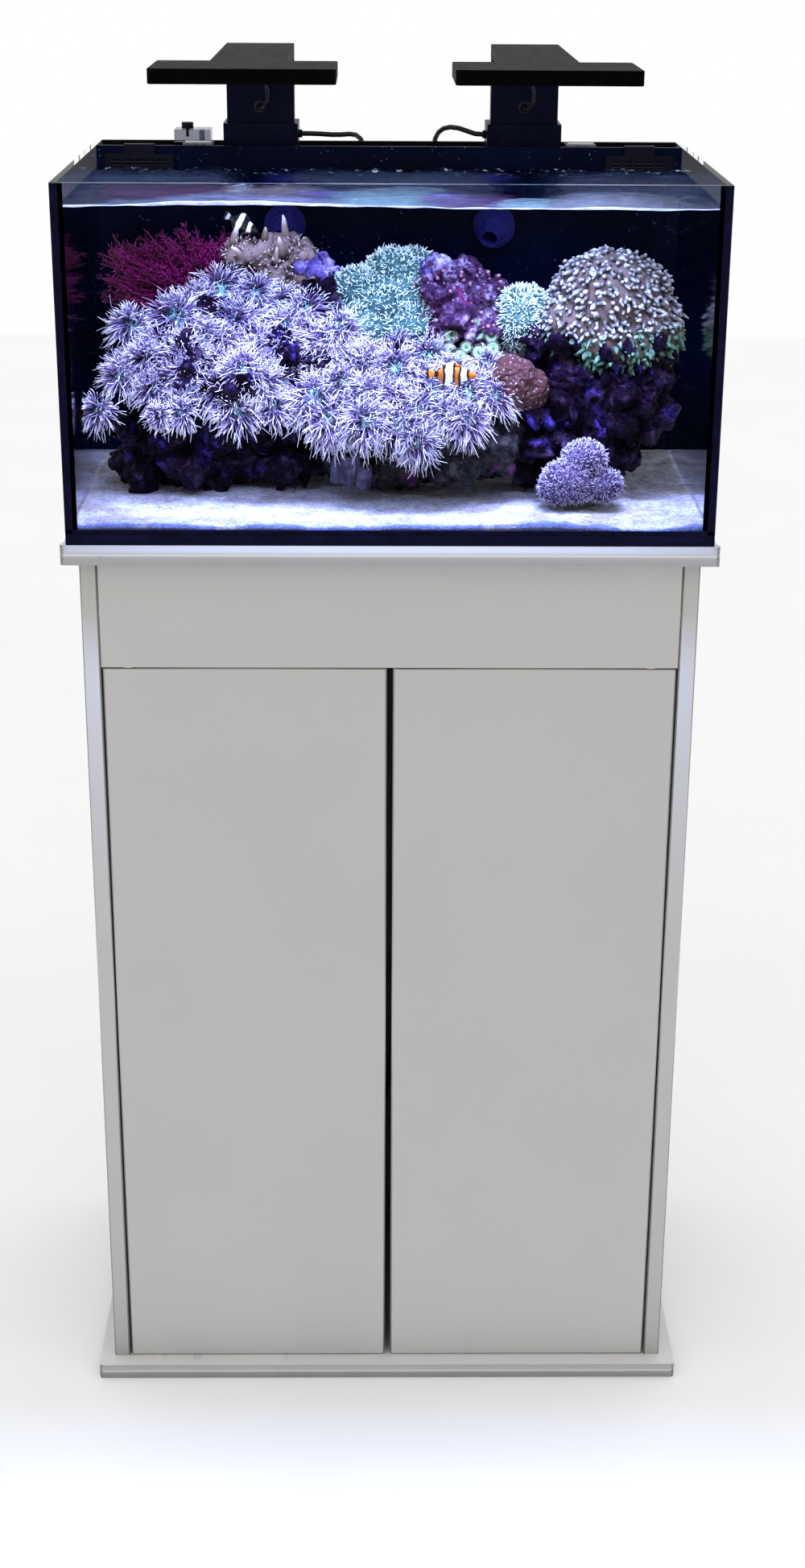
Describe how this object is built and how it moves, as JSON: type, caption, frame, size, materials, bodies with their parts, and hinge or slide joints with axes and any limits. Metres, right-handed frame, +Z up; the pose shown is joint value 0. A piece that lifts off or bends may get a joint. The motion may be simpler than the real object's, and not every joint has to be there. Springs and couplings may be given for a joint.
{
  "type": "aquarium on stand",
  "caption": "Glass aquarium with a reef, a rear filter chamber and clamp-on lights, on a cabinet stand with pivoting doors.",
  "frame": {"origin": "middle of the base board's underside, on the floor", "axes": "+X to the viewer's right, +Y to the rear, +Z up; the doors face -Y"},
  "size_m": [0.612, 0.409, 1.336],
  "materials": {
    "board_lacquer": "satin off-white lacquer on board",
    "cabinet_lacquer": "satin light warm grey lacquer on board",
    "back_board": "matt painted board",
    "bush_brass": "turned",
    "catch_plastic": "moulded",
    "pin_steel": "ground",
    "mat_foam": "closed-cell foam",
    "base_glass": "polished, dark silicone under the edge",
    "clear_glass": "polished",
    "seal_silicone": "smooth silicone",
    "black_acrylic": "polished black acrylic",
    "black_plastic": "moulded",
    "pump_plastic": "moulded",
    "hose_rubber": "smooth hose",
    "basket_plastic": "moulded",
    "filter_floss": "bonded fibre",
    "light_aluminium": "black anodised",
    "led_board": "solder-resist white",
    "lens_acrylic": "polished",
    "clear_acrylic": "polished",
    "sand": "fine coral sand",
    "live_rock": "porous, encrusted",
    "coral": "soft polyps",
    "cord_rubber": "satin jacket"
  },
  "bodies": {
    "tank_and_stand": {"base_board": "board_lacquer", "top_board": "board_lacquer", "side_panel_left": "cabinet_lacquer", "side_panel_right": "cabinet_lacquer", "back_panel": "back_board", "fascia_panel": "cabinet_lacquer", "rear_rail": "cabinet_lacquer", "pivot_bushes": "bush_brass", "door_catches": "catch_plastic", "levelling_mat": "mat_foam", "tank_base": "base_glass", "front_glass": "clear_glass", "rear_glass": "clear_glass", "side_glass_left": "clear_glass", "side_glass_right": "clear_glass", "corner_seals": "seal_silicone", "divider_wall": "black_acrylic", "chamber_baffles": "black_acrylic", "overflow_grille_left": "black_plastic", "overflow_grille_right": "black_plastic", "bulkhead_left": "black_plastic", "bulkhead_right": "black_plastic", "return_pumps": "pump_plastic", "pump_hoses": "hose_rubber", "clamp_bracket_left": "light_aluminium", "clamp_bracket_right": "light_aluminium", "sensor_holder": "clear_acrylic", "sand_bed": "sand", "reef_rocks": "live_rock", "corals": "coral", "light_cord_left": "cord_rubber", "light_cord_right": "cord_rubber", "power_adapters": "black_plastic"},
    "door_left": {"door_left": "cabinet_lacquer", "door_hardware_left": "pin_steel"},
    "nozzle_ring_left": {"nozzle_ring_left": "black_plastic"},
    "nozzle_ball_left": {"nozzle_ball_left": "black_plastic"},
    "media_basket_left": {"media_basket_left": "basket_plastic", "filter_pad_left": "filter_floss"},
    "light_left": {"light_head_left": "light_aluminium", "led_board_left": "led_board", "light_lens_left": "lens_acrylic", "light_column_left": "light_aluminium", "head_lead_left": "cord_rubber"},
    "clamp_screw_left": {"clamp_screw_left": "black_plastic"},
    "clamp_pad_left": {"clamp_pad_left": "black_plastic"},
    "door_right": {"door_right": "cabinet_lacquer", "door_hardware_right": "pin_steel"},
    "nozzle_ring_right": {"nozzle_ring_right": "black_plastic"},
    "nozzle_ball_right": {"nozzle_ball_right": "black_plastic"},
    "media_basket_right": {"media_basket_right": "basket_plastic", "filter_pad_right": "filter_floss"},
    "light_right": {"light_head_right": "light_aluminium", "led_board_right": "led_board", "light_lens_right": "lens_acrylic", "light_column_right": "light_aluminium", "head_lead_right": "cord_rubber"},
    "clamp_screw_right": {"clamp_screw_right": "black_plastic"},
    "clamp_pad_right": {"clamp_pad_right": "black_plastic"},
    "holder_screw": {"holder_screw": "black_plastic"}
  },
  "joints": [
    {"name": "door_left_swing", "type": "hinge", "parent": "tank_and_stand", "child": "door_left", "pos_m": [-0.249, -0.165, 0.403], "axis": [0, 0, -1], "range_deg": [0, 110]},
    {"name": "nozzle_ring_left_spin", "type": "hinge", "parent": "tank_and_stand", "child": "nozzle_ring_left", "pos_m": [-0.106, 0.117, 1.163], "axis": [0, 1, 0], "continuous": true},
    {"name": "nozzle_ball_left_tilt", "type": "hinge", "parent": "nozzle_ring_left", "child": "nozzle_ball_left", "pos_m": [-0.106, 0.117, 1.163], "axis": [0.8192, 0, -0.5736], "range_deg": [-50, 2]},
    {"name": "media_basket_left_lift", "type": "slide", "parent": "tank_and_stand", "child": "media_basket_left", "axis": [0, 0, 1], "range_m": [0, 0.08]},
    {"name": "light_left_lift", "type": "slide", "parent": "tank_and_stand", "child": "light_left", "axis": [0, 0, 1], "range_m": [0, 0.05]},
    {"name": "clamp_screw_left_turn", "type": "hinge", "parent": "tank_and_stand", "child": "clamp_screw_left", "pos_m": [-0.13, 0.207, 1.215], "axis": [0, -1, 0], "range_deg": [-720, 0]},
    {"name": "clamp_pad_left_slide", "type": "slide", "parent": "tank_and_stand", "child": "clamp_pad_left", "axis": [0, -1, 0], "range_m": [-0.0025, 0]},
    {"name": "door_right_swing", "type": "hinge", "parent": "tank_and_stand", "child": "door_right", "pos_m": [0.249, -0.165, 0.403], "axis": [0, 0, 1], "range_deg": [0, 110]},
    {"name": "nozzle_ring_right_spin", "type": "hinge", "parent": "tank_and_stand", "child": "nozzle_ring_right", "pos_m": [0.106, 0.117, 1.163], "axis": [0, 1, 0], "continuous": true},
    {"name": "nozzle_ball_right_tilt", "type": "hinge", "parent": "nozzle_ring_right", "child": "nozzle_ball_right", "pos_m": [0.106, 0.117, 1.163], "axis": [0.8192, 0, -0.5736], "range_deg": [-50, 2]},
    {"name": "media_basket_right_lift", "type": "slide", "parent": "tank_and_stand", "child": "media_basket_right", "axis": [0, 0, 1], "range_m": [0, 0.08]},
    {"name": "light_right_lift", "type": "slide", "parent": "tank_and_stand", "child": "light_right", "axis": [0, 0, 1], "range_m": [0, 0.05]},
    {"name": "clamp_screw_right_turn", "type": "hinge", "parent": "tank_and_stand", "child": "clamp_screw_right", "pos_m": [0.136, 0.207, 1.215], "axis": [0, -1, 0], "range_deg": [-720, 0]},
    {"name": "clamp_pad_right_slide", "type": "slide", "parent": "tank_and_stand", "child": "clamp_pad_right", "axis": [0, -1, 0], "range_m": [-0.0025, 0]},
    {"name": "holder_screw_turn", "type": "hinge", "parent": "tank_and_stand", "child": "holder_screw", "pos_m": [-0.206, 0.182, 1.252], "axis": [0, 0, 1], "continuous": true}
  ],
  "couplings": [
    {"joint": "clamp_pad_left_slide", "follows": "clamp_screw_left_turn", "m_per_rad": 0.00019894},
    {"joint": "clamp_pad_right_slide", "follows": "clamp_screw_right_turn", "m_per_rad": 0.00019894}
  ]
}
